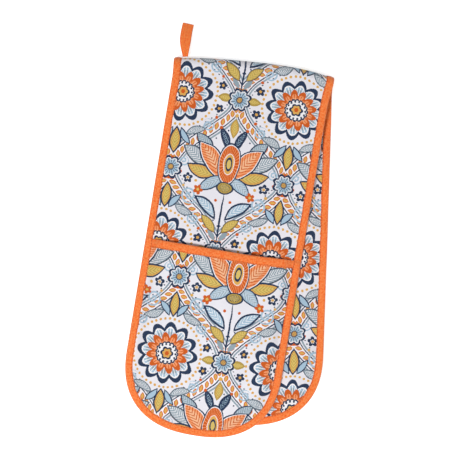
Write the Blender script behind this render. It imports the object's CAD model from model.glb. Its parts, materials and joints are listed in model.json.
# Looks of a double oven glove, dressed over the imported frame.
import json
import math
from functools import partial

import bmesh
import bpy
import numpy as np
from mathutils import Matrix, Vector


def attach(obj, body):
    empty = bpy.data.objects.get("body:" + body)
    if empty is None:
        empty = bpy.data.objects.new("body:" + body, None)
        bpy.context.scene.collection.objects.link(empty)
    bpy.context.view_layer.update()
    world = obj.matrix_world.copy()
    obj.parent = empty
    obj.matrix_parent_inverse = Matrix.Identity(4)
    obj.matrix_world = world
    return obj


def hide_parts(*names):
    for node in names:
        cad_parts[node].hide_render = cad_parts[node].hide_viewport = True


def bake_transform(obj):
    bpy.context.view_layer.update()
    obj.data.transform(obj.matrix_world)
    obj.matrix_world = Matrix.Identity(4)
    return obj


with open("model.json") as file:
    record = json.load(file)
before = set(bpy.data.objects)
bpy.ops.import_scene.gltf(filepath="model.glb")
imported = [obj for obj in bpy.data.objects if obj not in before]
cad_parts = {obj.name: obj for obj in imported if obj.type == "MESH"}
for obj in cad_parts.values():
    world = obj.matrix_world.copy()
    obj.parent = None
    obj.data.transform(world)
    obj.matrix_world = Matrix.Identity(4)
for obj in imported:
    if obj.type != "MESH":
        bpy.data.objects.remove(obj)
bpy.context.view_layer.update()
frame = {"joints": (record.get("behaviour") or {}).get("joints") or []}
scene = bpy.context.scene
mm = 0.001
print("frame loaded")

# The padded strip as cut. Its layers lie a slack apart, so that none touches the next.
strip = {
    "halfWidth": 92.5 * mm, "front": 447 * mm, "back": 430 * mm, "tipDepth": 88 * mm, "tipPower": 2.4,
    "cover": 0.5 * mm, "slack": 0.3 * mm, "wadding": 3.4 * mm, "waddingEdge": 0.8 * mm, "plumpPower": 6,
    "tape": 9 * mm, "tapeThickness": 0.6 * mm, "pocketDepth": 220.5 * mm, "pocketSeat": 0.4 * mm,
    "pocketWadding": 2.2 * mm, "pocketWaddingEdge": 0.6 * mm,
    "mouthHike": 2.3 * mm, "mouthHikeFrom": 0.25, "mouthHikeReach": 50 * mm,
}
# How it lies folded: the legs' lean, the fold, the room for a hand in each pocket, the front leg's droop
lie = {
    "lean": math.radians(3.8), "foldRadius": 10.5 * mm, "foldDrop": (3.1 * mm, 8.3 * mm),
    "foldDropPower": 2.2, "foldDropReach": 75 * mm, "foldFlare": 2.4 * mm, "foldFlareReach": 36 * mm,
    "backHand": 5.4 * mm, "frontHand": 6.8 * mm, "handTaper": 0.25, "crownPower": 3,
    "edgeRise": 0.8 * mm, "edgeTurn": 0.45, "ridge": 12 * mm, "ridgeFade": 28 * mm, "runout": 18 * mm,
    "drape": 0.9 * mm, "droopHeight": 5 * mm, "droopReach": 199.8 * mm,
}
# How finely it is meshed. The edge's columns are in mm in from the binding.
grid = {
    "rowStep": 2.2 * mm, "foldRows": 24, "tipRows": 44, "middleColumns": 13,
    "edgeColumns": [0, 0.7, 1.5, 2.5, 3.8, 5.4, 7.4, 9.8, 12.8, 16.4, 20.6, 25],
    "weld": 0.02 * mm, "slimmest": 0.005 * mm,
}
# Soft wandering waves: sines of sizes between these shares of the one asked for, and a sum they seldom pass
waves = {"count": 6, "sizes": (0.7, 1.5), "sum": 3.2}
back, front = -1, 1
names = {back: "back", front: "front"}
length = {side: strip[name] for side, name in names.items()}
half = strip["halfWidth"]
inner = half - strip["tape"]
# Half the strip's thickness in its middle and at its edge, and the whole thickness of a pocket's panel
mainHalfThick = strip["wadding"] / 2 + strip["slack"] + strip["cover"]
mainEdgeHalf = strip["waddingEdge"] / 2 + strip["slack"] + strip["cover"]
pocketThick = strip["pocketWadding"] + 2 * (strip["slack"] + strip["cover"])
pocketEdgeThick = strip["pocketWaddingEdge"] + 2 * (strip["slack"] + strip["cover"])
bend = lie["foldRadius"] - mainHalfThick  # radius of the strip's middle surface where it folds
bendArc = bend * math.pi / 2
sinLean, cosLean, tanLean = (turn(lie["lean"]) for turn in (math.sin, math.cos, math.tan))

# The strip is laid out round the fold's middle line, which the lower crease gives
crease = next(joint for joint in frame["joints"] if joint["name"] == "fold_lower")["pos_m"]
offset = np.array([
    crease[0], crease[1] - lie["foldRadius"] * math.cos(math.pi / 4),
    crease[2] - lie["foldRadius"] * (1 - math.sin(math.pi / 4)),
])


def smooth(x):
    x = np.clip(x, 0, 1)
    return x * x * (3 - 2 * x)


def ripple(u, v, size, seed):  # waves between about -1 and 1, size is a wavelength
    draw = np.random.default_rng(seed)
    total = 0
    for _ in range(waves["count"]):
        turn, phase = draw.uniform(0, 2 * math.pi, 2)
        step = 2 * math.pi / (size * draw.uniform(*waves["sizes"]))
        total = total + np.sin(step * (u * math.cos(turn) + v * math.sin(turn)) + phase)
    return total / waves["sum"]


def mouthOf(side):
    return length[side] - strip["pocketDepth"]


def edgeShare(side, across, along):  # 0 on the centre line, 1 at the binding's inner edge
    u = np.abs(across) / inner
    v = np.maximum(0, (along - length[side] + strip["tipDepth"]) / (strip["tipDepth"] - strip["tape"]))
    return (u ** strip["tipPower"] + v ** strip["tipPower"]) ** (1 / strip["tipPower"])


def crown(side, across, along):  # how far the room for a hand rises, 1 on the centre line
    return np.maximum(0, 1 - edgeShare(side, across, along) ** lie["crownPower"])


def plump(side, across, along):  # the same for the wadding, which stays full until near the binding
    return np.maximum(0, 1 - edgeShare(side, across, along) ** strip["plumpPower"])


def mainFill(side, across, along):  # half the wadding's thickness
    swell = (strip["wadding"] - strip["waddingEdge"]) * plump(side, across, along)
    return (strip["waddingEdge"] + swell) / 2


def pocketFill(side, across, along):  # the same in a pocket, thin along its mouth
    openEnd = smooth((along - mouthOf(side) - strip["tape"]) / lie["ridgeFade"])
    swell = (strip["pocketWadding"] - strip["pocketWaddingEdge"]) * openEnd
    return (strip["pocketWaddingEdge"] + swell * plump(side, across, along)) / 2


def mouthRidge(side, along):  # 1 under the mouth's binding, which lifts what lies on it
    away = np.abs(along - (mouthOf(side) + strip["tape"] / 2)) - lie["ridge"]
    return 1 - smooth(away / lie["ridgeFade"])


def lift(side, along):  # 0 at the fold, 1 from a little before the mouth
    run = mouthOf(side) - lie["runout"] - bendArc
    return smooth((along - bendArc) / run)


def backHeight(across, along):  # the back leg lies on its own pocket
    edge = lie["edgeRise"] + pocketEdgeThick + strip["pocketSeat"] + mainEdgeHalf
    middle = pocketThick + lie["backHand"] + mainHalfThick
    swell = crown(back, across, along)
    level = edge + (middle - edge) * swell
    tapeRoom = 2 * (strip["tapeThickness"] + strip["slack"])
    return (mainHalfThick + lift(back, along) * (level - mainHalfThick)
            + tapeRoom * mouthRidge(back, along) * (1 - swell))


def frontHeight(x, y, along):  # the front leg lies on the back one and droops beside it
    d = -(bendArc - y)
    away = edgeShare(back, x * cosLean + d * sinLean, x * sinLean - d * cosLean) * inner
    turn = np.minimum(away / lie["droopReach"], 1) * math.pi
    top = pocketThick + lie["backHand"] + 3 * mainHalfThick + lie["drape"]
    drape = lie["droopHeight"] + (top - lie["droopHeight"]) * (1 + np.cos(turn)) / 2
    start = lie["foldRadius"] + bend
    return start + lift(front, along) * (drape - start)


def foldDrop(across, along):  # the bound ends of the fold lie behind its full middle
    share = across / half
    drop = np.where(share > 0, lie["foldDrop"][1], lie["foldDrop"][0])
    return drop * np.abs(share) ** lie["foldDropPower"] * (1 - smooth(np.abs(along) / lie["foldDropReach"]))


def place(side, across, along, out):  # strip coordinates to the frame, out from the middle surface
    across, along, out = np.broadcast_arrays(across, along, out)
    s = side * along  # through the fold from the back leg to the front one
    drop = foldDrop(across, along)
    flare = lie["foldFlare"] * across / half * (1 - smooth(np.abs(along) / lie["foldFlareReach"]))
    x = across * cosLean - s * sinLean + flare
    d = s * cosLean + across * sinLean  # the same, square to the fold
    turn = np.clip(d / bend, -math.pi / 2, math.pi / 2)
    y = (bend + out) * np.cos(turn)
    z = lie["foldRadius"] + (bend + out) * np.sin(turn)
    flat = np.abs(d) > bendArc
    yFlat = bendArc - np.abs(d) - drop
    if side == back:
        zFlat = backHeight(across, along) - out
    else:
        zFlat = frontHeight(x, yFlat, along) + out
    y, z = np.where(flat, yFlat, y - drop), np.where(flat, zFlat, z)
    return np.stack([x, y, z], axis=-1) + offset


def tipEdge(side, angle, inset):  # a point of the rounded end, moved in by inset
    u = np.maximum(np.cos(angle), 0) ** (2 / strip["tipPower"])
    v = np.sin(angle) ** (2 / strip["tipPower"])
    nu, nv = u ** (strip["tipPower"] - 1) / half, v ** (strip["tipPower"] - 1) / strip["tipDepth"]
    size = np.hypot(nu, nv)
    start = length[side] - strip["tipDepth"]
    return half * u - inset * nu / size, start + strip["tipDepth"] * v - inset * nv / size


def skew(side, along):  # rows run along the fold there, and square to the leg from the mouth on
    first, last = bendArc / cosLean, mouthOf(side)
    return side * tanLean * (1 - smooth((along - first) / (last - first)))


def legGrid(side, shares, insets, start=0.0):  # rows from start to the tip, from the fold where start is 0
    foldRows = np.linspace(0, bendArc / cosLean, grid["foldRows"], endpoint=False) if start == 0 else []
    first = bendArc / cosLean if start == 0 else start
    last = length[side] - strip["tipDepth"]
    bodyRows = np.linspace(first, last, round((last - first) / grid["rowStep"]), endpoint=False)
    down = np.concatenate([foldRows, bodyRows])[:, None]
    shares, insets = np.array(shares)[None, :], np.array(insets)[None, :]
    across = shares * (half - insets) + 0 * down
    along = down - across * skew(side, down) if start == 0 else down + 0 * across
    angles = np.linspace(0, math.pi / 2, grid["tipRows"])[:, None]
    tipAcross, tipAlong = tipEdge(side, angles, insets)
    return np.vstack([across, shares * tipAcross]), np.vstack([along, tipAlong + 0 * shares])


def panelColumns(edgeInset, sideways=0):  # a share of the width and an inset for each, on one side or both
    steps = np.array(grid["edgeColumns"]) * mm
    middle = np.linspace(steps[-1], inner, grid["middleColumns"] + 1)[1:]
    shares = [1.0, 1.0] + list(1 - np.concatenate([steps, middle]) / inner)
    insets = [edgeInset, (edgeInset + strip["tape"]) / 2] + [strip["tape"]] * (len(shares) - 2)
    if sideways > 0:
        return shares[::-1], insets[::-1]
    if sideways < 0:
        return [-share for share in shares], insets
    return [-share for share in shares[:-1]] + shares[::-1], insets[:-1] + insets[::-1]


def cleanMesh(name, points, faces, uvs, finish, sharpAngle=50):
    mesh = bpy.data.meshes.new(name)
    mesh.from_pydata(points.tolist(), [], faces)
    layer = mesh.uv_layers.new(name="cloth")
    loops = np.zeros(len(mesh.loops), np.int32)
    mesh.loops.foreach_get("vertex_index", loops)
    layer.data.foreach_set("uv", uvs[loops].astype(np.float32).ravel())
    build = bmesh.new()
    build.from_mesh(mesh)
    bmesh.ops.remove_doubles(build, verts=build.verts, dist=grid["weld"])
    bmesh.ops.dissolve_degenerate(build, edges=build.edges, dist=grid["slimmest"])
    bmesh.ops.recalc_face_normals(build, faces=build.faces)
    build.to_mesh(mesh)
    build.free()
    mesh.shade_smooth()
    mesh.set_sharp_from_angle(angle=math.radians(sharpAngle))
    mesh.materials.append(finish)
    return addObject(name, mesh)


def addObject(name, data):
    made = bpy.data.objects.new(name, data)
    scene.collection.objects.link(made)
    return made


def quadsOf(*corners):
    return np.stack(corners, axis=-1).reshape(-1, 4)


def slab(name, side, across, along, outTop, outBottom, finish, up=1):  # one closed layer of cloth or wadding
    rows, columns = across.shape
    top, bottom = place(side, across, along, outTop), place(side, across, along, outBottom)
    points = np.concatenate([top.reshape(-1, 3), bottom.reshape(-1, 3)])
    uv = np.stack([across, up * side * along], axis=-1).reshape(-1, 2)
    index = np.arange(rows * columns).reshape(rows, columns)
    quads = quadsOf(index[:-1, :-1], index[1:, :-1], index[1:, 1:], index[:-1, 1:])
    ring = np.concatenate([index[0, :-1], index[:-1, -1], index[-1, :0:-1], index[:0:-1, 0]])
    after = np.roll(ring, -1)
    lower = rows * columns
    rim = quadsOf(ring, after, after + lower, ring + lower)
    faces = np.concatenate([quads, quads[:, ::-1] + lower, rim]).tolist()
    return cleanMesh(name, points, faces, np.concatenate([uv, uv]), finish)


def hexColour(text):  # an sRGB hex value as a linear colour
    parts = [int(text[i:i + 2], 16) / 255 for i in (1, 3, 5)]
    return [p / 12.92 if p <= 0.04045 else ((p + 0.055) / 1.055) ** 2.4 for p in parts] + [1]


# Inputs are given in order or by name, and a node that is given stands for its first output.
# A kind without "Node" in it is a shader node's.
def addNode(tree, kind, inputs=(), **settings):
    node = tree.nodes.new(kind if "Node" in kind else "ShaderNode" + kind)
    for key, value in settings.items():
        setattr(node, key, value)
    pairs = inputs.items() if isinstance(inputs, dict) else enumerate(inputs)
    for key, value in pairs:
        value = value.outputs[0] if isinstance(value, bpy.types.Node) else value
        if isinstance(value, bpy.types.NodeSocket):
            tree.links.new(value, node.inputs[key])
        else:
            node.inputs[key].default_value = value
    return node


def newMaterial(name):
    made = bpy.data.materials.new(name)
    made.use_nodes = True
    return made, made.node_tree, made.node_tree.nodes["Principled BSDF"]


# The print is a folk pattern of blooms and rosettes between garlands that swing from side to side.
# Every length in it is in millimetres on the cloth, and every limit is a share of its motif's size.
inks = {
    "ground": "#EDEBF2", "navy": "#213350", "sky": "#A9C4D8", "mist": "#C3D3E0", "grey": "#92A3AE",
    "ochre": "#DFAB57", "mustard": "#DCC06A", "rust": "#CF5C1A", "coral": "#F49C68", "peach": "#F5BD93",
    "olive": "#B5984A", "white": "#F4F2F5", "slate": "#4A5360",
}
layout = {
    "width": 134.0, "height": 180.0, "rim": 0.99, "leafStep": 5.6, "leafSize": (4.6, 2.5), "leafTurn": 48,
    "dotAway": 11.4, "dotSize": 0.95, "inkBleed": 0.4, "bleedPerMm": 0.9, "sway": 1.3, "swayPerMm": 0.045,
    "garland": 12.0, "garlandTones": {0.36: "white", 0.47: "navy", 0.58: "ground", 0.74: "grey"},
}


def shapeGroup(name, sizes):  # takes a point, gives its reach, 1 at the edge, and its nearness to a line
    tree = bpy.data.node_groups.new(name, "ShaderNodeTree")
    tree.interface.new_socket("Point", in_out="INPUT", socket_type="NodeSocketVector")
    for label, value in sizes.items():
        socket = tree.interface.new_socket(label, in_out="INPUT", socket_type="NodeSocketFloat")
        socket.default_value = value
    for label in ("Reach", "Line"):
        tree.interface.new_socket(label, in_out="OUTPUT", socket_type="NodeSocketFloat")
    add = partial(addNode, tree)
    given = add("NodeGroupInput").outputs
    x, y, _ = add("SeparateXYZ", [given["Point"]]).outputs
    return tree, add, given, x, y


def polar(add, given, x, y):  # the point's angle and its distance from the middle
    angle = add("Math", [y, x], operation="ARCTAN2")
    return angle, add("VectorMath", [given["Point"]], operation="LENGTH").outputs["Value"]


def turnShare(add, angle, count):  # the angle counted in parts, of which a full turn has count
    counted = add("Math", [angle, count], operation="MULTIPLY")
    return add("Math", [counted, 0.5 / math.pi], operation="MULTIPLY")


def makeLeafGroup():  # pointed at both ends, curved by Bend, with slanting veins
    tree, add, given, x, y = shapeGroup("leafShape", {"Bend": 0.0, "Lines": 5.0})
    square = add("Math", [x, x], operation="MULTIPLY")
    bent = add("Math", [square, given["Bend"], y], operation="MULTIPLY_ADD")
    across = add("Math", [bent], operation="ABSOLUTE")
    slant = add("Math", [across, -0.6, x], operation="MULTIPLY_ADD")  # how far a vein leans
    spaced = add("Math", [slant, given["Lines"]], operation="MULTIPLY")
    add("NodeGroupOutput", [add("Math", [across, square], operation="ADD"),
                            add("Math", [spaced, 0.5], operation="PINGPONG")])
    return tree


def makePetalGroup():  # a flower seen from above, an oval where Depth is 0, with lines from its middle
    tree, add, given, x, y = shapeGroup("petalRing", {"Petals": 5.0, "Depth": 0.0, "Lines": 24.0})
    angle, far = polar(add, given, x, y)
    counted = add("Math", [angle, given["Petals"]], operation="MULTIPLY")
    wave = add("Math", [add("Math", [counted, 0.5], operation="MULTIPLY")], operation="COSINE")
    lobe = add("Math", [add("Math", [wave], operation="ABSOLUTE"), 1.0], operation="SUBTRACT")
    edge = add("Math", [lobe, given["Depth"], 1.0], operation="MULTIPLY_ADD")
    spread = turnShare(add, angle, given["Lines"])
    add("NodeGroupOutput", [add("Math", [far, edge], operation="DIVIDE"),
                            add("Math", [spread, 0.5], operation="PINGPONG")])
    return tree


def makeScrollGroup():  # a line that winds inwards
    tree, add, given, x, y = shapeGroup("scrollLine", {"Turns": 2.0, "Width": 0.2})
    angle, far = polar(add, given, x, y)
    wound = add("Math", [far, given["Turns"]], operation="MULTIPLY")
    phase = add("Math", [angle, 0.5 / math.pi, wound], operation="MULTIPLY_ADD")
    beside = add("Math", [phase, 0.5], operation="PINGPONG")
    line = add("Math", [beside, given["Width"]], operation="DIVIDE")
    add("NodeGroupOutput", [add("Math", [line, far], operation="MAXIMUM")])
    return tree


def makeBeadGroup():  # a ring of round dots
    tree, add, given, x, y = shapeGroup("beadRing", {"Beads": 12.0, "Size": 0.1})
    angle, far = polar(add, given, x, y)
    near = add("Math", [turnShare(add, angle, given["Beads"]), 0.5, -0.5], operation="WRAP")
    shared = add("Math", [near, given["Beads"]], operation="DIVIDE")
    sideways = add("Math", [shared, 2 * math.pi], operation="MULTIPLY")
    outwards = add("Math", [far, 1.0], operation="SUBTRACT")
    spot = add("CombineXYZ", [sideways, outwards])
    size = add("VectorMath", [spot], operation="LENGTH").outputs["Value"]
    add("NodeGroupOutput", [add("Math", [size, given["Size"]], operation="DIVIDE")])
    return tree


groups = {"leaf": makeLeafGroup(), "petals": makePetalGroup(),
          "scroll": makeScrollGroup(), "beads": makeBeadGroup()}


def inkOver(add, base, reach, tones):  # lays inks, each out to its limit, over the colour so far
    tones = {layout["rim"]: tones} if isinstance(tones, str) else tones
    limits, colours = list(tones), [hexColour(inks[ink]) for ink in tones.values()]
    ramp = add("ValToRGB", [reach])
    ramp.color_ramp.interpolation = "CONSTANT"
    stops = ramp.color_ramp.elements
    stops[0].color = colours[0]
    stops[1].position, stops[1].color = limits[-1], (0, 0, 0, 0)
    for limit, colour in zip(limits[:-1], colours[1:]):
        stops.new(limit).color = colour
    inked = {0: ramp.outputs["Alpha"], 6: base, 7: ramp.outputs["Color"]}
    return add("Mix", inked, data_type="RGBA").outputs[2]


def stamp(add, base, point, shape, at, size, turn, tones, veins=None, **values):
    spot = add("Mapping", {"Vector": point, "Location": (*at, 0), "Scale": (*size, 1),
                           "Rotation": (0, 0, math.radians(turn))}, vector_type="TEXTURE")
    reach, line = add("Group", {"Point": spot, **values}, node_tree=groups[shape]).outputs
    colour = inkOver(add, base, reach, tones)
    if veins:  # lines of another ink out to a limit, 2 to 4 mm apart, coarser than a screen can print
        limit, width, ink = veins
        inward = add("Math", [reach, 1 / limit], operation="MULTIPLY")
        beside = add("Math", [line, 1 / width], operation="MULTIPLY")
        colour = inkOver(add, colour, add("Math", [inward, beside], operation="MAXIMUM"), ink)
    return colour


def dot(x, y, radius, ink):
    return "petals", (x, y), (radius, radius), 0, ink, {}


def floret(x, y, radius, turn, tones):
    return "petals", (x, y), (radius, radius), turn, tones, {"Petals": 5.0, "Depth": 0.42}


# Each motif: shape, place and half size from the middle of its cell, turn in degrees, inks from the
# inside out with their limits, and its own values
bloom = [
    # curls and plumes behind the flower
    ("scroll", (40, -29), (10.5, 10.5), 210, "sky", {"Turns": 2.0, "Width": 0.2}),
    ("scroll", (53.5, 9.5), (6.4, 6.4), 30, "sky", {"Turns": 1.7, "Width": 0.22}),
    ("leaf", (40, 19.5), (19, 8.6), 36, {0.8: "grey", 0.98: "slate"},
     {"Bend": 0.3, "Lines": 5.5, "veins": (0.74, 0.17, "white")}),
    ("leaf", (30, 33), (18, 8.0), 52, {0.8: "grey", 0.98: "navy"},
     {"Bend": 0.35, "Lines": 5.0, "veins": (0.74, 0.17, "mist")}),
    ("leaf", (8.5, 43), (15, 5.0), 66, {0.98: "navy"},
     {"Bend": 0.25, "Lines": 4.5, "veins": (0.5, 0.14, "sky")}),
    # stem and its leaves
    ("petals", (0, -52), (1.1, 32), 0, "navy", {}),
    ("leaf", (18, -38), (19, 7.2), 40, {0.66: "sky", 0.98: "navy"},
     {"Bend": 0.35, "Lines": 4.0, "veins": (0.62, 0.13, "white")}),
    ("leaf", (12, -57.5), (13.5, 5.6), 44, {0.64: "mustard", 0.84: "olive", 0.98: "navy"},
     {"Bend": 0.3, "Lines": 4.0, "veins": (0.6, 0.15, "olive")}),
    ("leaf", (6.6, -71), (7.6, 2.9), 52, {0.98: "grey"}, {"Bend": 0.2}),
    # the flower
    ("leaf", (31, 1), (19.5, 8.4), 12, {0.5: "mustard", 0.76: "ochre", 0.98: "navy"},
     {"Bend": -0.35, "Lines": 4.5, "veins": (0.6, 0.14, "olive")}),
    ("leaf", (20.5, 18), (25, 12.0), 55, {0.4: "peach", 0.76: "coral", 0.84: "white", 0.98: "navy"},
     {"Bend": 0.4, "Lines": 5.5, "veins": (0.76, 0.17, "rust")}),
    ("leaf", (16.5, -10), (18.5, 7.6), -32, {0.6: "mist", 0.78: "sky", 0.98: "navy"},
     {"Bend": 0.3, "Lines": 4.5, "veins": (0.66, 0.15, "grey")}),
    ("petals", (0, 14), (13.2, 26), 0,
     {0.4: "ochre", 0.5: "white", 0.86: "rust", 0.91: "white", 0.99: "navy"},
     {"Lines": 30.0, "veins": (0.86, 0.13, "coral")}),
    ("petals", (0, 14), (5.4, 12), 0, {0.45: "mustard", 0.7: "navy", 0.99: "ochre"}, {}),
    ("petals", (0, -14.5), (10.4, 7.0), 0, {0.5: "mustard", 0.8: "olive", 0.99: "navy"},
     {"Lines": 16.0, "veins": (0.6, 0.2, "navy")}),
    ("leaf", (0, 56), (11.5, 5.4), 90, {0.5: "mustard", 0.72: "ochre", 0.98: "olive"},
     {"Lines": 4.0, "veins": (0.7, 0.15, "olive")}),
    # little flowers and berries
    floret(45, -9, 6.4, 15, {0.3: "ochre", 0.42: "white", 0.99: "navy"}),
    floret(31, -21, 5.8, 40, {0.32: "mustard", 0.99: "rust"}),
    dot(55, -3, 1.9, "rust"), dot(35, -11, 1.7, "ochre"), dot(49, -19, 1.7, "ochre"),
    dot(8.6, -30, 1.7, "rust"), dot(15.5, 55, 1.8, "rust"), dot(0, 71, 2.2, "ochre"),
]
rosette = [
    ("scroll", (36, 34.5), (7.4, 7.4), 20, "sky", {"Turns": 1.8, "Width": 0.22}),
    ("scroll", (36, -34.5), (7.4, 7.4), 150, "sky", {"Turns": -1.8, "Width": 0.22}),
    ("leaf", (22, 42.5), (13, 5.2), -22, {0.8: "grey", 0.98: "slate"},
     {"Bend": -0.35, "Lines": 4.5, "veins": (0.7, 0.16, "white")}),
    ("leaf", (22, -42.5), (13, 5.2), 22, {0.8: "grey", 0.98: "slate"},
     {"Bend": 0.35, "Lines": 4.5, "veins": (0.7, 0.16, "white")}),
    ("beads", (0, 0), (40, 40), 0, "ochre", {"Beads": 46.0, "Size": 0.038}),
    ("petals", (0, 0), (36.5, 36.5), 0, {0.7: "grey", 0.79: "sky", 0.84: "white", 0.99: "navy"},
     {"Petals": 12.0, "Depth": 0.2, "Lines": 48.0, "veins": (0.8, 0.15, "white")}),
    ("petals", (0, 0), (25, 25), 15, {0.6: "peach", 0.78: "coral", 0.99: "rust"},
     {"Petals": 12.0, "Depth": 0.3, "Lines": 36.0, "veins": (0.84, 0.15, "rust")}),
    ("petals", (0, 0), (14, 14), 0, {0.86: "white", 0.99: "navy"}, {"Petals": 16.0, "Depth": 0.1}),
    ("beads", (0, 0), (10.4, 10.4), 0, "navy", {"Beads": 14.0, "Size": 0.12}),
    ("petals", (0, 0), (8, 8), 0, {0.34: "rust", 0.7: "ochre", 0.99: "navy"}, {"Petals": 6.0, "Depth": 0.25}),
    ("leaf", (0, 57.5), (16, 7), 90, {0.45: "mustard", 0.7: "ochre", 0.98: "navy"},
     {"Lines": 4.5, "veins": (0.66, 0.14, "olive")}),
    ("leaf", (0, -57.5), (16, 7), 90, {0.45: "mustard", 0.7: "ochre", 0.98: "navy"},
     {"Lines": 4.5, "veins": (0.66, 0.14, "olive")}),
    ("leaf", (10, 52), (11, 4.4), 52, {0.66: "sky", 0.98: "navy"}, {"Bend": 0.3}),
    ("leaf", (10, -52), (11, 4.4), -52, {0.66: "sky", 0.98: "navy"}, {"Bend": -0.3}),
    ("leaf", (50.5, 0), (9.5, 4.8), 0, {0.5: "mustard", 0.98: "olive"},
     {"Lines": 4.0, "veins": (0.6, 0.15, "olive")}),
    floret(45, 13.5, 5.6, 10, {0.34: "ochre", 0.99: "navy"}),
    floret(45, -13.5, 5.6, 50, {0.34: "ochre", 0.99: "navy"}),
    dot(44, 24.5, 1.8, "rust"), dot(44, -24.5, 1.8, "rust"),
    dot(0, 78, 1.8, "rust"), dot(0, -78, 1.8, "rust"),
]
# A flower covers each crossing of the garlands, above and below either cell
crossing = [
    ("petals", (0, upDown), (14, 14), 22.5,
     {0.22: "ochre", 0.3: "navy", 0.6: "sky", 0.72: "mist", 0.8: "white", 0.99: "navy"},
     {"Petals": 8.0, "Depth": 0.24, "Lines": 16.0, "veins": (0.72, 0.13, "navy")})
    for upDown in (layout["height"] / 2, -layout["height"] / 2)
]


def makePrintGroup():  # takes a point on the cloth in metres, gives the ink's colour
    tree = bpy.data.node_groups.new("folkPrint", "ShaderNodeTree")
    tree.interface.new_socket("Point", in_out="INPUT", socket_type="NodeSocketVector")
    tree.interface.new_socket("Colour", in_out="OUTPUT", socket_type="NodeSocketColor")
    add = partial(addNode, tree)
    given = add("NodeGroupInput").outputs["Point"]
    point = add("VectorMath", {0: given, 1: (1 / mm, -1 / mm, 0)}, operation="MULTIPLY")
    for perMm, size in ((layout["bleedPerMm"], layout["inkBleed"]),  # the ink's rough edges
                        (layout["swayPerMm"], layout["sway"])):  # and a drawn line's sway
        wobble = add("TexNoise", {"Vector": point, "Scale": perMm, "Detail": 1.0}, noise_dimensions="2D")
        centred = add("VectorMath", {0: wobble.outputs["Color"], 1: (0.5, 0.5, 0.5)}, operation="SUBTRACT")
        scaled = add("VectorMath", {0: centred, "Scale": size * 2}, operation="SCALE")
        point = add("VectorMath", [point, scaled], operation="ADD")
    x, y, _ = add("SeparateXYZ", [point]).outputs
    wide, high = layout["width"], layout["height"]
    x1 = add("Math", [x, wide / 2], operation="PINGPONG")
    y1 = add("Math", [y, high / 2, -high / 2], operation="WRAP")
    x2 = add("Math", [wide / 2, x1], operation="SUBTRACT")
    y2 = add("Math", [add("Math", [y, high / 2], operation="ADD"), high / 2, -high / 2], operation="WRAP")
    bloomPoint, rosettePoint = add("CombineXYZ", [x1, y1]), add("CombineXYZ", [x2, y2])

    # The garland between the cells swings as a cosine. Its own point runs beside it and along its leaves.
    angle = add("Math", [y1, 2 * math.pi / high], operation="MULTIPLY")
    swing = add("Math", [angle], operation="COSINE")
    edge = add("Math", [swing, wide / 4, wide / 4], operation="MULTIPLY_ADD")
    steep = add("Math", [angle], operation="SINE")
    slope = add("Math", [steep, wide / 4 * 2 * math.pi / high], operation="MULTIPLY")
    stretch = add("VectorMath", [add("CombineXYZ", [slope, 1.0])], operation="LENGTH").outputs["Value"]
    away = add("Math", [add("Math", [x1, edge], operation="SUBTRACT"), stretch], operation="DIVIDE")
    leaned = add("Math", [add("Math", [away, slope], operation="MULTIPLY"), stretch], operation="DIVIDE")
    level = add("Math", [y1, leaned], operation="SUBTRACT")
    foot = add("Math", [level, layout["leafStep"] / 2, -layout["leafStep"] / 2], operation="WRAP")
    garlandPoint = add("CombineXYZ", [away, add("Math", [foot, stretch], operation="MULTIPLY")])

    beside = add("Math", [away], operation="ABSOLUTE")
    reach = add("Math", [beside, layout["garland"]], operation="DIVIDE")
    colour = inkOver(add, hexColour(inks["ground"]), reach, layout["garlandTones"])
    garland = [("leaf", (0, 0), layout["leafSize"], layout["leafTurn"], {0.6: "ochre", 0.98: "rust"}, {}),
               dot(-layout["dotAway"], 0, layout["dotSize"], "navy"),
               dot(layout["dotAway"], 0, layout["dotSize"], "slate")]
    for motifs, spot in ((garland, garlandPoint), (bloom, bloomPoint), (rosette, rosettePoint),
                         (crossing, bloomPoint), (crossing, rosettePoint)):
        for *motif, values in motifs:
            colour = stamp(add, colour, spot, *motif, **values)
    add("NodeGroupOutput", [colour])
    return tree


# The cloth's threads and yarn, in mm. Real threads lie 0.3 to 0.5 mm apart and would not show, so the weave
# is drawn at about twice that, and the lumps and fuzz of the yarn coarser than they are too.
yarn = {"shade": (0.93, 1.03), "patch": 28, "streak": (9, 1.3), "slub": 2.2, "fuzz": 1.6,
        "turnedEdge": (0.2, 1.5), "relief": 0.5, "roughness": 0.86, "specular": 0.25, "sheenRoughness": 0.5}


def weaveHeight(add, point, pitch, turn):  # plain weave: threads over and under
    spun = add("Mapping", {"Vector": point, "Rotation": (0, 0, math.radians(turn)),
                           "Scale": (1 / (pitch * mm), 1 / (pitch * mm), 1)})
    x, y, _ = add("SeparateXYZ", [spun]).outputs
    swings = [add("Math", [add("Math", [value, math.pi], operation="MULTIPLY")], operation="SINE")
              for value in (x, y)]
    return add("Math", swings, operation="MULTIPLY")


def varied(add, point, colour, spread, long, wide):  # colour that wanders a little, sizes in mm
    spun = add("Mapping", {"Vector": point, "Scale": (1 / (long * mm), 1 / (wide * mm), 1)})
    patch = add("TexNoise", {"Vector": spun, "Scale": 1.0, "Detail": 3.0, "Roughness": 0.55},
                noise_dimensions="2D")
    level = add("MapRange", {"Value": patch.outputs["Fac"], "From Min": 0.25, "From Max": 0.75,
                             "To Min": 1 - spread, "To Max": 1 + spread * 0.5})
    return add("VectorMath", {0: colour, "Scale": level}, operation="SCALE")


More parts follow.
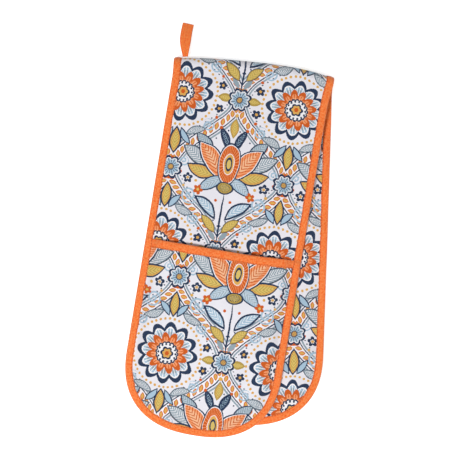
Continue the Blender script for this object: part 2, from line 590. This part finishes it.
def clothFinish(name, colour=None, printOn=None, shift=(0, 0), slub=None, pitch=0.9, turn=0.0, bump=0.06,
                spread=0.05, streak=0.0, edge=0.0, sheen=0.25):
    made, tree, shader = newMaterial(name)
    add = partial(addNode, tree)
    uv = add("UVMap", uv_map="cloth")
    point = add("Mapping", {"Vector": uv, "Location": (shift[0] * mm, shift[1] * mm, 0)})
    if slub:  # paler where the yarn stands up, deeper between
        lump = add("TexNoise", {"Vector": point, "Scale": 1 / (yarn["slub"] * mm), "Detail": 2.0},
                   noise_dimensions="2D")
        paler = add("MapRange", {"Value": lump.outputs["Fac"], "From Min": 0.3, "From Max": 0.7})
        tones = {0: paler, 6: hexColour(slub[0]), 7: hexColour(slub[1])}
        tone = add("Mix", tones, data_type="RGBA").outputs[2]
    elif printOn:
        tone = add("Group", {"Point": point}, node_tree=printOn)
    else:
        tone = hexColour(colour)[:3]
    threads = weaveHeight(add, point, pitch, turn)
    shade = add("MapRange", {"Value": threads, "From Min": -1.0, "From Max": 1.0,
                             "To Min": yarn["shade"][0], "To Max": yarn["shade"][1]})
    tone = add("VectorMath", {0: tone, "Scale": shade}, operation="SCALE")
    tone = varied(add, point, tone, spread, yarn["patch"], yarn["patch"])
    if streak:  # threads that took the dye unevenly
        tone = varied(add, point, tone, streak, *yarn["streak"])
    if edge:  # the tape's turned-in edge, or the loop's seam, is darker
        beside = add("Math", [add("SeparateXYZ", [point]).outputs[1]], operation="ABSOLUTE")
        worn = add("MapRange", {"Value": beside, "From Min": yarn["turnedEdge"][0] * mm,
                                "From Max": yarn["turnedEdge"][1] * mm, "To Min": 1 - edge, "To Max": 1.0})
        tone = add("VectorMath", {0: tone, "Scale": worn}, operation="SCALE")
    fuzz = add("TexNoise", {"Vector": point, "Scale": 1 / (yarn["fuzz"] * mm), "Detail": 2.0},
               noise_dimensions="2D")
    height = add("Math", [threads, 0.5, fuzz.outputs["Fac"]], operation="MULTIPLY_ADD")
    raised = add("Bump", {"Strength": yarn["relief"], "Distance": bump * mm, "Height": height})
    tree.links.new(tone.outputs[0], shader.inputs["Base Color"])
    tree.links.new(raised.outputs[0], shader.inputs["Normal"])
    for socket, value in (("Roughness", yarn["roughness"]), ("Specular IOR Level", yarn["specular"]),
                          ("Sheen Weight", sheen), ("Sheen Roughness", yarn["sheenRoughness"])):
        shader.inputs[socket].default_value = value
    return made


folkPrint = makePrintGroup()
finishes = {
    # screen-printed cotton canvas: flat matt inks with slightly ragged edges, threads as a fine grain
    "print": clothFinish("printedCottonCanvas", printOn=folkPrint, shift=(10, 40)),
    "pocketPrint": clothFinish("printedCottonPocket", printOn=folkPrint, shift=(-22, 95)),
    # unbleached plain cotton inside the pockets: off-white and matt, with an even fine weave
    "lining": clothFinish("liningCotton", "#E9E6E4", pitch=0.8),
    # needled cotton wadding, only seen where a layer is lifted: cream, cloudy and soft, with no clear weave
    "wadding": clothFinish("needledCottonWadding", "#ECE8DE", pitch=2.5, bump=0.3, spread=0.1),
    # cotton tape cut on the bias: threads at 45 degrees, a mottled colour, and a darker turned edge
    "binding": clothFinish("orangeBiasTape", slub=("#F86B24", "#FF9552"), pitch=0.85, turn=45, bump=0.08,
                           streak=0.07, edge=0.22),
    # the same tape sewn shut along its middle for the loop: threads run along it, and it streaks lengthwise
    "loop": clothFinish("orangeLoopTape", slub=("#FF7230", "#FF8E46"), pitch=1.0, bump=0.09, spread=0.04,
                        streak=0.08, edge=0.06),
    # spun polyester sewing thread pulled down into the tape: smoother, and it reads darker than the cotton
    "thread": clothFinish("orangeSewingThread", "#D0551F", pitch=0.5, turn=30, spread=0.03, sheen=0.1),
}
print("finishes made")


# How the cloth turns at the fold: its share of the turn where the fold starts, and more for each metre on
turning = {"first": 0.1, "onwards": 30.0}


def bendAcrossFold(piece, side, radius):  # each leg's cloth has turned as far where it meets the other's
    start = Vector((0, offset[1], offset[2] + lie["foldRadius"] + side * radius))
    room = radius - lie["foldDrop"][1]  # the right end of the fold lies furthest back
    upwards = (1 - turning["first"] - turning["onwards"] * room) / radius
    rate = Vector((0, turning["onwards"], -side * upwards))
    step = rate / rate.length_squared
    start = start - turning["first"] * step
    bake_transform(piece)


def mouthHike(side, across):  # the front mouth's right end is pulled a little towards the fold
    pulled = smooth((across / half - strip["mouthHikeFrom"]) / (1 - strip["mouthHikeFrom"]))
    return -strip["mouthHike"] * pulled * (side == front)


# The cloth's slight waves, and the little pulls beside the binding's stitches
cloth = {
    "undulation": 0.35 * mm, "undulationSize": 90 * mm, "calmEdge": 4, "calmFold": 40 * mm, "innerShare": 0.4,
    "pucker": 0.16 * mm, "puckerSize": 7 * mm, "puckerFrom": 1.2 * mm, "puckerFade": 5 * mm,
    "puckerFold": 15 * mm, "puckerSlant": 0.35, "puckerDrift": 2.2, "puckerDriftSize": 30 * mm,
    "cutInset": 2.3 * mm, "hair": 0.02 * mm, "tipFullness": 0.82,
    "foldPress": 0.4, "pressFrom": 10 * mm, "pressFade": 14 * mm,  # the wadding keeps this share in the fold
}
seeds = {"outerWave": 11, "innerWave": 12, "outerPucker": 21, "innerPucker": 25, "pocketWave": 31,
         "pocketPucker": 41, "tapeWander": 51, "tapeLumps": 52}


def clothWander(side, across, along, seed):
    calm = (smooth((1 - edgeShare(side, across, along)) * cloth["calmEdge"])
            * smooth((along - bendArc) / cloth["calmFold"]))
    return cloth["undulation"] * calm * ripple(across, along, cloth["undulationSize"], seed)


def seamPucker(side, across, along, seed):
    inset = np.maximum(0, (1 - edgeShare(side, across, along)) * inner)
    fade = (np.exp(-inset / cloth["puckerFade"]) * smooth(inset / cloth["puckerFrom"])
            * smooth((along - bendArc) / cloth["puckerFold"]))
    run = along + cloth["puckerSlant"] * np.abs(across)
    drift = cloth["puckerDrift"] * ripple(across, along, cloth["puckerDriftSize"], seed)
    return cloth["pucker"] * fade * np.sin(2 * math.pi * run / cloth["puckerSize"] + drift)


def makeStrip(side):
    name = names[side]
    across, along = legGrid(side, *panelColumns(cloth["cutInset"]))
    fill = mainFill(side, across, along)
    coverIn, coverOut = fill + strip["slack"], fill + strip["slack"] + strip["cover"]
    outerWave = clothWander(side, across, along, seeds["outerWave"]) * (side == front)
    pullOut = seamPucker(side, across, along, seeds["outerPucker"] + side)
    innerWave = cloth["innerShare"] * clothWander(side, across, along, seeds["innerWave"])
    pullIn = seamPucker(side, across, along, seeds["innerPucker"] + side)
    outer = slab(f"{name}OuterCover", side, across, along,
                 coverOut + outerWave + pullOut, coverIn + outerWave + pullOut, finishes["print"])
    turned = np.abs(side * along * cosLean + across * sinLean)
    press = cloth["foldPress"] + (1 - cloth["foldPress"]) * smooth(
        (turned - bendArc - cloth["pressFrom"]) / cloth["pressFade"])
    middle = slab(f"{name}Wadding", side, across, along, press * (coverIn + outerWave - cloth["hair"]),
                  press * (-coverIn + innerWave + cloth["hair"]), finishes["wadding"])
    inside = slab(f"{name}InnerCover", side, across, along,
                  -coverIn + innerWave - pullIn, -coverOut + innerWave - pullIn, finishes["print"], up=-1)
    return outer, middle, inside


for side in (back, front):
    name = names[side]
    outer, middle, inside = makeStrip(side)
    for piece, node, slot, radius in (
        (outer, "outer_cover", "print", lie["foldRadius"]),
        (middle, "wadding", "wadding", bend),
        (inside, "inner_cover", "print", 2 * bend - lie["foldRadius"]),
    ):
        nodes = [f"{name}_{node}"] + ([f"fold_{node}"] if side == front else [])
        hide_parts(*nodes)
        bendAcrossFold(piece, side, radius)
print("strip made")


# The hand pockets, each in a left and a right half so that the mouth can open as an arch. The panel's edge
# lies flat on the strip, under the binding, and rises to the pocket's own height over the rise's reach.
pocket = {"cutInset": 3.6 * mm, "mouthInset": 2.3 * mm, "sewnGap": 0.55 * mm, "rise": 11 * mm,
          "risePower": 0.8, "plumpReach": 8 * mm, "edgeFill": 0.05 * mm, "pullFade": 6 * mm}


def pocketMiddle(side, across, along):
    inset = (1 - edgeShare(side, across, along)) * inner
    if side == front:
        into = smooth((along - mouthOf(front)) / strip["pocketDepth"])
        hand = lie["frontHand"] * crown(front, across, along) * (1 - lie["handTaper"] * into)
        seat = strip["pocketSeat"] + (strip["tapeThickness"] + strip["slack"]) * mouthRidge(front, along)
        middle = (mainFill(front, across, along) + pocketFill(front, across, along)
                  + 2 * (strip["slack"] + strip["cover"]) + seat + hand)
    else:
        turn = (1 - crown(back, across, along) - lie["edgeTurn"]) / (1 - lie["edgeTurn"])
        face = lie["edgeRise"] * smooth(turn)
        face = face + (strip["tapeThickness"] + strip["slack"]) * mouthRidge(back, along)
        middle = (backHeight(across, along) - face - pocketFill(back, across, along)
                  - strip["slack"] - strip["cover"])
    middle = middle + clothWander(side, across, along, seeds["pocketWave"]) * (side == front)
    sewn = mainEdgeHalf + pocket["sewnGap"]
    return sewn + (middle - sewn) * smooth(inset / pocket["rise"]) ** pocket["risePower"]


def pocketLayers(side, across, along):  # the panel's middle height, and half the thickness inside its covers
    inset = (1 - edgeShare(side, across, along)) * inner
    swell = smooth(inset / pocket["plumpReach"])
    plumpest = pocketFill(side, across, along) + strip["slack"]
    fill = pocket["edgeFill"] + (plumpest - pocket["edgeFill"]) * swell
    return pocketMiddle(side, across, along), fill


def makePocket(side):
    name, made, mouth = names[side], [], mouthOf(side)
    for part, sideways in (("Left", -1), ("Right", 1)):
        columns = panelColumns(pocket["cutInset"], sideways)
        across, along = legGrid(side, *columns, start=mouth + pocket["mouthInset"])
        fade = 1 - smooth((along - mouth) / strip["mouthHikeReach"])
        along = along + mouthHike(side, across) * fade
        middle, fill = pocketLayers(side, across, along)
        pull = (seamPucker(side, across, along, seeds["pocketPucker"] + side)
                * smooth((along - mouth - strip["tape"]) / pocket["pullFade"]))
        cover = slab(f"{name}PocketCover{part}", side, across, along,
                     middle + fill + strip["cover"] + pull, middle + fill + pull, finishes["pocketPrint"])
        pad = slab(f"{name}PocketWadding{part}", side, across, along,
                   middle + fill - cloth["hair"], middle - fill + cloth["hair"], finishes["wadding"])
        lining = slab(f"{name}PocketLining{part}", side, across, along,
                      middle - fill, middle - fill - strip["cover"], finishes["lining"])
        made.append((sideways, cover, pad, lining))
    return made


def openAsArch(piece, side, sideways):  # still at the sewn side, all the way open in the middle
    mouth = mouthOf(side)
    sewn, middle = (Vector(place(side, np.array(sideways * w), np.array(mouth), np.array(0.0)))
                    for w in (inner, 0.0))
    sewn.z = middle.z = 0.0
    if side == front:
        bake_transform(piece)
    else:
        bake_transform(piece)


for side in (back, front):
    name = names[side]
    for sideways, cover, pad, lining in makePocket(side):
        for piece, node, slot in ((cover, "cover", "print"), (pad, "wadding", "wadding"),
                                  (lining, "lining", "lining")):
            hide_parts(f"{name}_pocket_{node}")
            openAsArch(piece, side, sideways)
print("pockets made")


# The orange tape that binds every edge, folded over it and sewn through near its inner edge. The stitches
# dent it and draw its edge in. The flap over a pocket's side lies higher where the pocket is sewn in.
tape = {
    "thickness": 0.6 * mm, "round": 1.5 * mm, "crown": 0.3 * mm, "crownFrom": 1.6 * mm, "crownRun": 5.6 * mm,
    "flapSteps": [9.0, 8.8, 8.5, 8.2, 7.9, 7.6, 7.1, 6.2, 4.8, 3.5, 2.5], "turnSteps": 9,  # steps in mm
    "stitchInset": 7.9 * mm, "pitch": 3.2 * mm, "groove": 0.3 * mm, "grooveWidth": 0.6 * mm,
    "grooveLeast": 0.45, "scallop": 0.22 * mm, "scallopFrom": 0.2 * mm, "scallopFade": 0.8 * mm,
    "wander": 0.3 * mm, "wanderSize": 26 * mm, "wanderSewn": 0.4,
    "puff": 0.13 * mm, "puffSize": 15 * mm, "puffAcross": 3,
    "mouthPuff": 1.6, "mouthWiden": {back: 1.0, front: 1.13}, "mouthEnd": 4 * mm, "mouthEase": 0.03 * mm,
    "seatRise": 1.15 * mm, "seatFrom": -3 * mm, "seatFade": 5 * mm,
    "bumpRise": 1.1 * mm, "bumpFrom": -4 * mm, "bumpFade": 5 * mm, "bumpTo": 7 * mm, "bumpEnd": 7 * mm,
    "foldRings": 18, "ringsPerStitch": 3, "tipRings": 125,
}
# Each stitch is a bead of thread 2.2 mm long. Real thread is 0.35 mm thick, drawn twice that so it shows.
stitch = {"Length": 2.2 * mm, "Thickness": 0.7 * mm, "Turn": 7.0, "Seed": 3}
threadLift = 0.06 * mm


def tapeSection(widen):  # outline of the folded tape from flap to flap, as inset and height share
    run = np.array(tape["flapSteps"]) * widen * mm
    turn = np.linspace(math.pi / 2, -math.pi / 2, tape["turnSteps"])
    arc = tape["thickness"] / 2 + tape["round"] * (1 - np.cos(turn))
    inset = np.concatenate([run, arc, run[::-1]])
    return inset, np.concatenate([np.ones(len(run)), np.sin(turn), -np.ones(len(run))])


def stitchPhases(stations, sewnAt):  # arc length along the stitch row, the same in stitches, and their count
    line = np.array([station(np.array([sewnAt]))[0:2] for station in stations])[:, :, 0]
    walk = np.concatenate([[0], np.cumsum(np.hypot(*np.diff(line, axis=0).T))])
    count = round(walk[-1] / tape["pitch"])
    return walk, walk / walk[-1] * count, count


def pathLength(points):
    return np.concatenate([[0], np.cumsum(np.hypot(*np.diff(points, axis=1)))])


# A station gives the strip coordinates at an inset from the edge. The flaps' heights and the middle surface
# that they lie on are functions of those.
def sweepTape(name, side, stations, flapOut, flapIn, finish, middle=None, puff=1.0, widen=1.0):
    inset, height = tapeSection(widen)
    sewnAt = tape["stitchInset"] * widen
    count, t = len(inset), tape["thickness"] / 2
    walk, phase, stitches = stitchPhases(stations, sewnAt)
    facing = np.sign(height)
    flat = np.abs(height) > 0.99
    dent = np.exp(-((inset - sewnAt) / tape["grooveWidth"]) ** 2) * flat
    swell = (tape["crown"] * flat
             * np.sin(np.clip((inset - tape["crownFrom"]) / tape["crownRun"], 0, 1) * math.pi))
    rings, uvs, rows = [], [], {1: [], -1: []}
    for station, run, beat in zip(stations, walk, phase):
        edgeAcross, edgeAlong = (float(v[0]) for v in station(np.array([strip["tape"]])))
        up, down = flapOut(edgeAcross, edgeAlong), flapIn(edgeAcross, edgeAlong)
        pull = (1 + math.cos(2 * math.pi * beat)) / 2  # 1 at the middle of a stitch
        groove = tape["groove"] * (tape["grooveLeast"] + (1 - tape["grooveLeast"]) * pull)
        drift = ripple(edgeAcross, edgeAlong, tape["wanderSize"], seeds["tapeWander"])
        wander = tape["wander"] * float(drift)
        lumps = puff * tape["puff"] * ripple(
            edgeAcross + tape["puffAcross"] * inset, edgeAlong, tape["puffSize"], seeds["tapeLumps"])
        level = np.where(height > 0, height * up, height * down)
        level = level + facing * (swell + lumps * flat - dent * groove)
        insets = inset + (wander - tape["scallop"] * pull) * smooth(
            (inset - sewnAt - tape["scallopFrom"]) / tape["scallopFade"])
        di, dn = np.gradient(insets), np.gradient(level)
        size = np.hypot(di, dn)
        outside = np.stack([insets + t * dn / size, level - t * di / size])
        inside = np.stack([insets - t * dn / size, level + t * di / size])
        section = np.concatenate([outside, inside[:, ::-1]], axis=1)
        across, along = np.broadcast_arrays(*station(section[0]))
        base = middle(across, along) if middle else 0.0
        rings.append(place(side, across, along, base + section[1]))
        turn = pathLength(outside)
        turn = np.minimum(turn, turn[-1] - turn)  # from the nearer flap's edge
        uvs.append(np.stack([np.full(2 * count, run), np.concatenate([turn, turn[::-1]])], axis=1))
        for sign, flap in ((1, up), (-1, down)):
            a, s = (float(v[0]) for v in station(np.array([sewnAt + wander * tape["wanderSewn"]])))
            ground = float(middle(np.array(a), np.array(s))) if middle else 0.0
            top = flap + t - groove + threadLift
            rows[sign].append([place(side, a, s, ground + sign * (top + rise)) for rise in (0, 1 * mm)])
    total, size = len(rings), 2 * count
    index = np.arange(total * size).reshape(total, size)
    after = np.roll(index, -1, axis=1)
    quads = quadsOf(index[:-1], after[:-1], after[1:], index[1:]).tolist()
    for ring in (index[0], index[-1]):  # each open end is closed by a strip of quads between the two faces
        facingRing = ring[:count - 1:-1]
        quads += quadsOf(ring[:count - 1], ring[1:count], facingRing[1:], facingRing[:-1]).tolist()
    piece = cleanMesh(name, np.concatenate(rings), quads, np.concatenate(uvs), finish, sharpAngle=70)
    return piece, rows, stitches


def makeStitchTree():  # lays a row of thread stitches along a line of edges, each turned a little by chance
    tree = bpy.data.node_groups.new("stitchRow", "GeometryNodeTree")
    for label, kind in (("Geometry", "Geometry"), ("Count", "Int"), ("Length", "Float"),
                        ("Thickness", "Float"), ("Turn", "Float"), ("Seed", "Int"), ("Thread", "Material")):
        tree.interface.new_socket(label, in_out="INPUT", socket_type="NodeSocket" + kind)
    tree.interface.new_socket("Geometry", in_out="OUTPUT", socket_type="NodeSocketGeometry")
    add = partial(addNode, tree)
    given = add("NodeGroupInput").outputs
    line = add("GeometryNodeMeshToCurve", {"Mesh": given["Geometry"]})
    spaced = add("GeometryNodeResampleCurve", {"Curve": line, "Count": given["Count"]}, mode="COUNT")
    facing = add("GeometryNodeInputNamedAttribute", {"Name": "facing"}, data_type="FLOAT_VECTOR")
    laid = add("FunctionNodeAxesToRotation", [add("GeometryNodeInputTangent"), facing],
               primary_axis="X", secondary_axis="Z")
    most = add("Math", [given["Turn"], math.pi / 180], operation="MULTIPLY")
    least = add("Math", [most, -1.0], operation="MULTIPLY")
    chance = add("FunctionNodeRandomValue", {2: least, 3: most, "Seed": given["Seed"]}, data_type="FLOAT")
    askew = add("FunctionNodeEulerToRotation", [add("CombineXYZ", {2: chance.outputs[1]})])
    turned = add("FunctionNodeRotateRotation", [laid, askew], rotation_space="LOCAL")
    halfLong, halfThick = (add("Math", [given[label], 0.5], operation="MULTIPLY")
                           for label in ("Length", "Thickness"))
    bead = add("GeometryNodeMeshUVSphere", {"Segments": 7, "Rings": 5, "Radius": 1.0})
    shape = add("CombineXYZ", [halfThick, halfThick, halfLong])
    upright = add("GeometryNodeTransform", {"Geometry": bead, "Scale": shape})
    thread = add("GeometryNodeTransform", {"Geometry": upright, "Rotation": (0, math.pi / 2, 0)})
    placed = add("GeometryNodeInstanceOnPoints", {"Points": spaced, "Instance": thread, "Rotation": turned})
    real = add("GeometryNodeRealizeInstances", [placed])
    rounded = add("GeometryNodeSetShadeSmooth", [real])
    dressed = add("GeometryNodeSetMaterial", {"Geometry": rounded, "Material": given["Thread"]})
    add("NodeGroupOutput", [dressed])
    return tree


stitchTree = makeStitchTree()


def sewRows(name, rows, count):  # one mesh of stitches along each flap's row
    mesh = bpy.data.meshes.new(name + "Line")
    points, facing, edges = [], [], []
    for row in rows.values():
        first = len(points)
        points += [low.tolist() for low, high in row]
        facing += [((high - low) / np.linalg.norm(high - low)).tolist() for low, high in row]
        edges += [(first + i, first + i + 1) for i in range(len(row) - 1)]
    mesh.from_pydata(points, edges, [])
    mesh.attributes.new("facing", "FLOAT_VECTOR", "POINT").data.foreach_set("vector", np.ravel(facing))
    line = addObject(name + "Line", mesh)
    modifier = line.modifiers.new("Stitches", "NODES")
    modifier.node_group = stitchTree
    values = {**stitch, "Count": count, "Thread": finishes["thread"]}
    for socket in stitchTree.interface.items_tree:
        if socket.in_out == "INPUT" and socket.name in values:
            modifier[socket.identifier] = values[socket.name]
    graph = bpy.context.evaluated_depsgraph_get()
    made = addObject(name, bpy.data.meshes.new_from_object(line.evaluated_get(graph)))
    bpy.data.objects.remove(line)
    return made


def flapHeight(side, out):
    def height(across, along):
        base = mainEdgeHalf + tape["thickness"] / 2
        if not out:
            return base
        past = along - mouthOf(side)
        seated = smooth((past - tape["seatFrom"]) / tape["seatFade"])
        bump = (smooth((past - tape["bumpFrom"]) / tape["bumpFade"])
                * (1 - smooth((past - tape["bumpTo"]) / tape["bumpEnd"])))
        return float(base + tape["seatRise"] * seated + tape["bumpRise"] * bump)
    return height


def edgeStations(side):  # down the left side from the fold, round the tip and up the right side
    first, last = bendArc / cosLean, length[side] - strip["tipDepth"]
    bodyRings = round(tape["ringsPerStitch"] * last / tape["pitch"])
    down = np.concatenate([np.linspace(0, first, tape["foldRings"], endpoint=False),
                           np.linspace(first, last, bodyRings, endpoint=False)])
    angles = np.linspace(0, math.pi / 2, tape["tipRings"])

    def straight(sideways, d):
        def at(inset):
            across = sideways * (half - inset)
            return across, d - across * float(skew(side, d))
        return at

    def rounded(sideways, angle):
        def at(inset):
            across, along = tipEdge(side, angle, inset)
            return sideways * across, along
        return at

    left = [straight(-1, d) for d in down] + [rounded(-1, angle) for angle in angles]
    right = [rounded(1, angle) for angle in angles[-2::-1]] + [straight(1, d) for d in down[::-1]]
    return left + right


for side in (back, front):
    name = names[side]
    piece, rows, count = sweepTape(f"{name}EdgeBinding", side, edgeStations(side),
                                   flapHeight(side, True), flapHeight(side, False), finishes["binding"])
    thread = sewRows(f"{name}EdgeStitches", rows, count)
    nodes = [f"{name}_edge_binding"] + (["fold_binding_left", "fold_binding_right"] if side == front else [])
    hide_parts(*nodes)
    for sewn in (piece, thread):
        bendAcrossFold(sewn, side, bend)


def mouthStations(side, sideways):
    edge = half - tape["mouthEnd"]
    line = np.linspace(0, sideways * edge, round(tape["ringsPerStitch"] * edge / tape["pitch"]))
    return [lambda inset, a=a: (a + 0 * inset, mouthOf(side) + mouthHike(side, a) + inset) for a in line]


def mouthMiddle(side):
    return lambda across, along: pocketMiddle(side, across, np.maximum(along, mouthOf(side)))


def mouthFlap(side):
    def height(across, along):
        fill = pocketLayers(side, np.array(across), np.array(along))[1]
        return float(fill) + strip["cover"] + tape["thickness"] / 2 + tape["mouthEase"]
    return height


for side in (back, front):
    name = names[side]
    for part, sideways in (("Left", -1), ("Right", 1)):
        flap = mouthFlap(side)
        piece, rows, count = sweepTape(
            f"{name}MouthBinding{part}", side, mouthStations(side, sideways), flap, flap, finishes["binding"],
            middle=mouthMiddle(side), puff=tape["mouthPuff"], widen=tape["mouthWiden"][side])
        thread = sewRows(f"{name}MouthStitches{part}", rows, count)
        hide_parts(f"{name}_mouth_binding")
        for sewn in (piece, thread):
            openAsArch(sewn, side, sideways)
print("bindings made")


# The hanging loop: one tape folded double, gathered where it is sewn in, its strands apart at the far end
loop = {"length": 38.5 * mm, "fromEdge": 12.4 * mm, "baseWidth": 6.4 * mm, "tipWidth": 13 * mm, "widen": 0.6,
        "thickness": 0.8 * mm, "split": 0.2 * mm, "seat": 0.85 * mm, "root": 1.25 * mm,
        "lean": math.radians(-1), "bow": 1.7 * mm, "tipRound": 1.7 * mm,
        "table": 0.35 * mm, "topPower": 2.2, "lowReach": 0.62,
        "gather": 0.45 * mm, "bulge": 0.5 * mm, "seam": 0.25 * mm, "seamWidth": 0.13,
        "columns": 21, "strandRows": 34, "tipRows": 12}


def loopSide():  # the tape seen from the side: distance out from the fold and height
    split = loop["split"] / 2 + loop["thickness"] / 2
    straight = loop["length"] - loop["tipRound"]
    tip = loop["table"] + loop["tipRound"]
    axisZ = lie["foldRadius"]
    share = np.linspace(0, 1, loop["strandRows"])
    top = axisZ + split + (tip + loop["tipRound"] - axisZ - split) * share ** loop["topPower"]
    low = axisZ - split + (loop["table"] - axisZ + split) * smooth(share / loop["lowReach"])
    turn = np.linspace(math.pi / 2, -math.pi / 2, loop["tipRows"] + 2)[1:-1]
    out = np.concatenate([[-loop["root"]], straight * share, straight + loop["tipRound"] * np.cos(turn),
                          (straight * share)[::-1], [-loop["root"]]])
    height = np.concatenate([[axisZ + split], top, tip + loop["tipRound"] * np.sin(turn),
                             low[::-1], [axisZ - split]])
    return out, height


def makeLoop():
    out, height = loopSide()
    across = -(half - loop["fromEdge"])
    flap = mainHalfThick + strip["slack"] + strip["tapeThickness"]
    baseY = bend + flap + loop["seat"] - float(foldDrop(across, 0.0)) + offset[1]
    rootX = float(place(front, across, 0.0, 0.0)[0])
    reach = np.clip(out / loop["length"], 0, 1)
    widened = np.sin(math.pi / 2 * np.minimum(reach / loop["widen"], 1))
    width = loop["baseWidth"] + (loop["tipWidth"] - loop["baseWidth"]) * widened
    bowing = loop["bow"] * math.pi / loop["length"] * np.cos(math.pi * reach)
    slope = np.arctan(math.tan(loop["lean"]) - bowing)
    aside = out * math.tan(loop["lean"]) - loop["bow"] * np.sin(math.pi * reach)
    shares = np.linspace(-1, 1, loop["columns"])[None, :]
    walk = pathLength(np.array([out, height]))[:, None]
    aside, out, height, width, slope, widened = (
        values[:, None] for values in (aside, out, height, width, slope, widened))
    upper = np.where(np.arange(len(out))[:, None] < len(out) / 2, 1, -1)
    fold = loop["gather"] * (1 - widened) * np.cos(2 * math.pi * shares) * upper
    seam = loop["seam"] * np.exp(-(shares / loop["seamWidth"]) ** 2)
    cup = (loop["bulge"] * (1 - shares ** 2) - seam) * upper * widened
    x = rootX + aside + shares * width / 2 * np.cos(slope)
    y = baseY + out - shares * width / 2 * np.sin(slope)
    z = height + fold + cup + offset[2]
    points = np.stack([x, y, z], axis=-1).reshape(-1, 3)
    uvs = np.stack([walk + 0 * shares, shares * loop["tipWidth"] / 2 + 0 * walk], axis=-1).reshape(-1, 2)
    index = np.arange(len(points)).reshape(-1, loop["columns"])
    quads = quadsOf(index[:-1, :-1], index[1:, :-1], index[1:, 1:], index[:-1, 1:])
    piece = cleanMesh("hangingLoop", points, quads.tolist(), uvs, finishes["loop"])
    solid = piece.modifiers.new("Solidify", "SOLIDIFY")
    solid.thickness, solid.offset = loop["thickness"], 0
    return piece


hangingLoop = makeLoop()
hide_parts("hanging_loop")
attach(hangingLoop, "loop")
print("loop made")


# Floor, light and camera. The panels are placed in metres, and size and watts follow.
studio = {
    "floorSize": 6, "floorDrop": 0.6 * mm, "paper": 0.9, "paperGlow": 0.68, "roomLight": 0.24,
    "keyPanel": ((-0.62, -0.58, 2.14), 0.32, 32.8), "fillPanel": ((1.0, -0.5, 1.6), 1.2, 8),
}
shot = {"roll": math.radians(5.73), "distance": 1.6, "above": 10 * mm, "middle": (-0.0088, 0.0040),
        "photoWidth": 460, "perPixel": 1.176 * mm, "sensor": 36, "clip": (0.05, 20)}


def seenBy(add):  # 1 where the camera sees it, straight or in a shiny or clear surface
    path = add("LightPath").outputs
    shiny = add("Math", [path["Is Camera Ray"], path["Is Glossy Ray"]], operation="MAXIMUM")
    return add("Math", [shiny, path["Is Transmission Ray"]], operation="MAXIMUM")


def makeFloor():  # white paper that looks white and still takes the shadow
    bpy.ops.mesh.primitive_plane_add(size=studio["floorSize"], location=(0, 0, -studio["floorDrop"]))
    floor = bpy.context.object
    floor.name = "paleFloor"
    made, tree, shader = newMaterial("whitePaper")
    tree.nodes.remove(shader)
    add = partial(addNode, tree)
    paper = add("BsdfDiffuse", {"Color": (studio["paper"], studio["paper"], studio["paper"], 1)})
    glow = add("Emission", {"Color": (1, 1, 1, 1), "Strength": studio["paperGlow"]})
    seen = add("MixShader", [seenBy(add), paper, add("AddShader", [paper, glow])])
    tree.links.new(seen.outputs[0], tree.nodes["Material Output"].inputs["Surface"])
    floor.data.materials.append(made)


def addPanel(name):  # a round soft light that faces the glove
    spot, size, power = studio[name]
    light = bpy.data.lights.new(name, "AREA")
    light.shape, light.size, light.energy = "DISK", size, power
    lamp = addObject(name, light)
    lamp.location = spot
    lamp.rotation_euler = (-Vector(spot)).to_track_quat("-Z", "Y").to_euler()


scene.world = bpy.data.worlds.new("paleRoom")
scene.world.use_nodes = True
room = scene.world.node_tree
backdrop = room.nodes["Background"].inputs
backdrop["Color"].default_value = (1, 1, 1, 1)  # white to the camera, a dim even light to the glove
level = addNode(room, "MapRange", {"Value": seenBy(partial(addNode, room)), "To Min": studio["roomLight"]})
room.links.new(level.outputs[0], backdrop["Strength"])
makeFloor()
for panel in ("keyPanel", "fillPanel"):
    addPanel(panel)

camera = addObject("overheadCamera", bpy.data.cameras.new("overheadCamera"))
scene.camera = camera
camera.location = (*shot["middle"], shot["distance"] + shot["above"])
camera.rotation_euler = (0, 0, shot["roll"])
camera.data.sensor_width = shot["sensor"]
camera.data.lens = shot["sensor"] * shot["distance"] / (shot["photoWidth"] * shot["perPixel"])
camera.data.clip_start, camera.data.clip_end = shot["clip"]

scene.view_settings.view_transform = "Standard"
print("scene ready")
